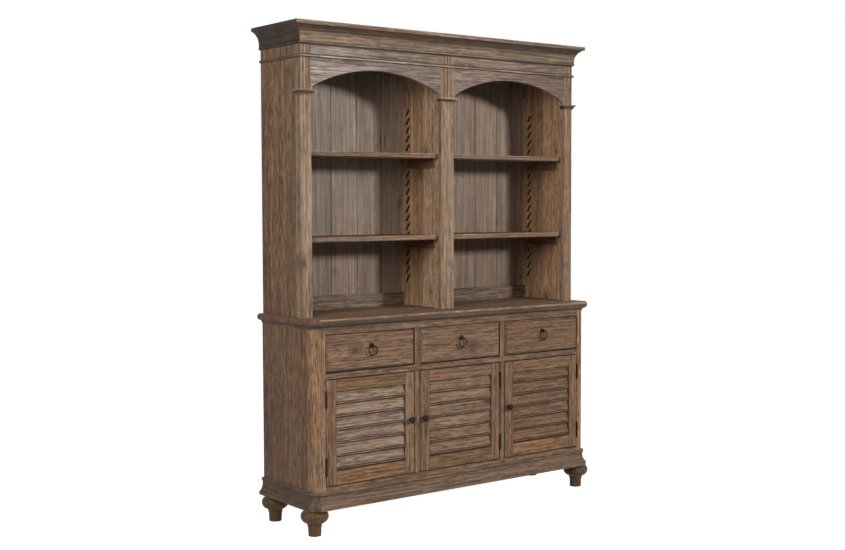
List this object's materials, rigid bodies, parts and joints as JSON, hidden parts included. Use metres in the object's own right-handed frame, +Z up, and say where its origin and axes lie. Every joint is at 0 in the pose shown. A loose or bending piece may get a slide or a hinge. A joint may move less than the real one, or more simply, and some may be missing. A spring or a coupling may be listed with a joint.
{
  "type": "dresser with hutch",
  "caption": "Wooden dresser: low cabinet with drawers over louvred doors on turned feet, under an open hutch with arched bays and adjustable shelves on toothed strips.",
  "frame": {"origin": "on the floor, under the middle of the box round the whole piece", "axes": "+X to the right seen from the front, +Y to the back, +Z up; the front faces -Y"},
  "size_m": [1.63, 0.448, 2.134],
  "materials": {
    "wood_case": "weathered, wire-brushed brown-grey pine, matt",
    "wood_back": "weathered brown-grey planks, matt",
    "wood_inner": "plain sanded wood inside the case",
    "bronze": "dark oil-rubbed bronze"
  },
  "bodies": {
    "case": {"base_back": "wood_inner", "base_bottom": "wood_inner", "base_corner_posts": "wood_case", "base_left_side": "wood_case", "base_partitions": "wood_inner", "base_right_side": "wood_case", "bottom_rail": "wood_case", "case_hinge_leaves": "bronze", "counter_cove": "wood_case", "countertop": "wood_case", "crown_moulding": "wood_case", "drawer_runners": "wood_inner", "face_stiles": "wood_case", "feet": "wood_case", "foot_blocks": "wood_inner", "hutch_arches": "wood_case", "hutch_astragal": "wood_case", "hutch_back": "wood_back", "hutch_back_rails": "wood_case", "hutch_capitals": "wood_case", "hutch_centre_post": "wood_case", "hutch_corner_posts": "wood_case", "hutch_left_side": "wood_case", "hutch_partition": "wood_case", "hutch_right_side": "wood_case", "hutch_top": "wood_case", "middle_rail": "wood_case", "plinth_moulding": "wood_case", "shelf_cleats": "wood_case", "toothed_strips": "wood_case", "top_rail": "wood_case"},
    "left_drawer": {"left_drawer_front": "wood_case", "left_drawer_box": "wood_inner", "left_drawer_pull": "bronze"},
    "left_ring": {"left_pull_ring": "bronze"},
    "left_door": {"left_door_frame": "wood_case", "left_door_slats": "wood_case", "left_door_knob": "bronze", "left_door_hinge_leaves": "bronze"},
    "middle_drawer": {"middle_drawer_front": "wood_case", "middle_drawer_box": "wood_inner", "middle_drawer_pull": "bronze"},
    "middle_ring": {"middle_pull_ring": "bronze"},
    "middle_door": {"middle_door_frame": "wood_case", "middle_door_slats": "wood_case", "middle_door_knob": "bronze", "middle_door_hinge_leaves": "bronze"},
    "right_drawer": {"right_drawer_front": "wood_case", "right_drawer_box": "wood_inner", "right_drawer_pull": "bronze"},
    "right_ring": {"right_pull_ring": "bronze"},
    "right_door": {"right_door_frame": "wood_case", "right_door_slats": "wood_case", "right_door_knob": "bronze", "right_door_hinge_leaves": "bronze"},
    "left_lower_shelf": {"left_lower_shelf": "wood_case"},
    "left_upper_shelf": {"left_upper_shelf": "wood_case"},
    "right_lower_shelf": {"right_lower_shelf": "wood_case"},
    "right_upper_shelf": {"right_upper_shelf": "wood_case"}
  },
  "joints": [
    {"name": "left_drawer_slide", "type": "slide", "parent": "case", "child": "left_drawer", "axis": [0, -1, 0], "range_m": [0, 0.26]},
    {"name": "left_ring_swing", "type": "hinge", "parent": "left_drawer", "child": "left_ring", "pos_m": [-0.48967, -0.212, 0.7825], "axis": [-1, 0, 0], "range_deg": [-10, 85]},
    {"name": "left_door_swing", "type": "hinge", "parent": "case", "child": "left_door", "pos_m": [-0.7195, -0.2002, 0.43], "axis": [0, 0, -1], "range_deg": [0, 100]},
    {"name": "middle_drawer_slide", "type": "slide", "parent": "case", "child": "middle_drawer", "axis": [0, -1, 0], "range_m": [0, 0.26]},
    {"name": "middle_ring_swing", "type": "hinge", "parent": "middle_drawer", "child": "middle_ring", "pos_m": [0, -0.212, 0.7825], "axis": [-1, 0, 0], "range_deg": [-10, 85]},
    {"name": "middle_door_swing", "type": "hinge", "parent": "case", "child": "middle_door", "pos_m": [0.22983, -0.2002, 0.43], "axis": [0, 0, 1], "range_deg": [0, 100]},
    {"name": "right_drawer_slide", "type": "slide", "parent": "case", "child": "right_drawer", "axis": [0, -1, 0], "range_m": [0, 0.26]},
    {"name": "right_ring_swing", "type": "hinge", "parent": "right_drawer", "child": "right_ring", "pos_m": [0.48967, -0.212, 0.7825], "axis": [-1, 0, 0], "range_deg": [-10, 85]},
    {"name": "right_door_swing", "type": "hinge", "parent": "case", "child": "right_door", "pos_m": [0.7195, -0.2002, 0.43], "axis": [0, 0, 1], "range_deg": [0, 100]},
    {"name": "left_lower_shelf_lift", "type": "slide", "parent": "case", "child": "left_lower_shelf", "axis": [0, 0, 1], "range_m": [0, 0.108]},
    {"name": "left_upper_shelf_lift", "type": "slide", "parent": "case", "child": "left_upper_shelf", "axis": [0, 0, 1], "range_m": [0, 0.108]},
    {"name": "right_lower_shelf_lift", "type": "slide", "parent": "case", "child": "right_lower_shelf", "axis": [0, 0, 1], "range_m": [0, 0.108]},
    {"name": "right_upper_shelf_lift", "type": "slide", "parent": "case", "child": "right_upper_shelf", "axis": [0, 0, 1], "range_m": [0, 0.108]}
  ]
}
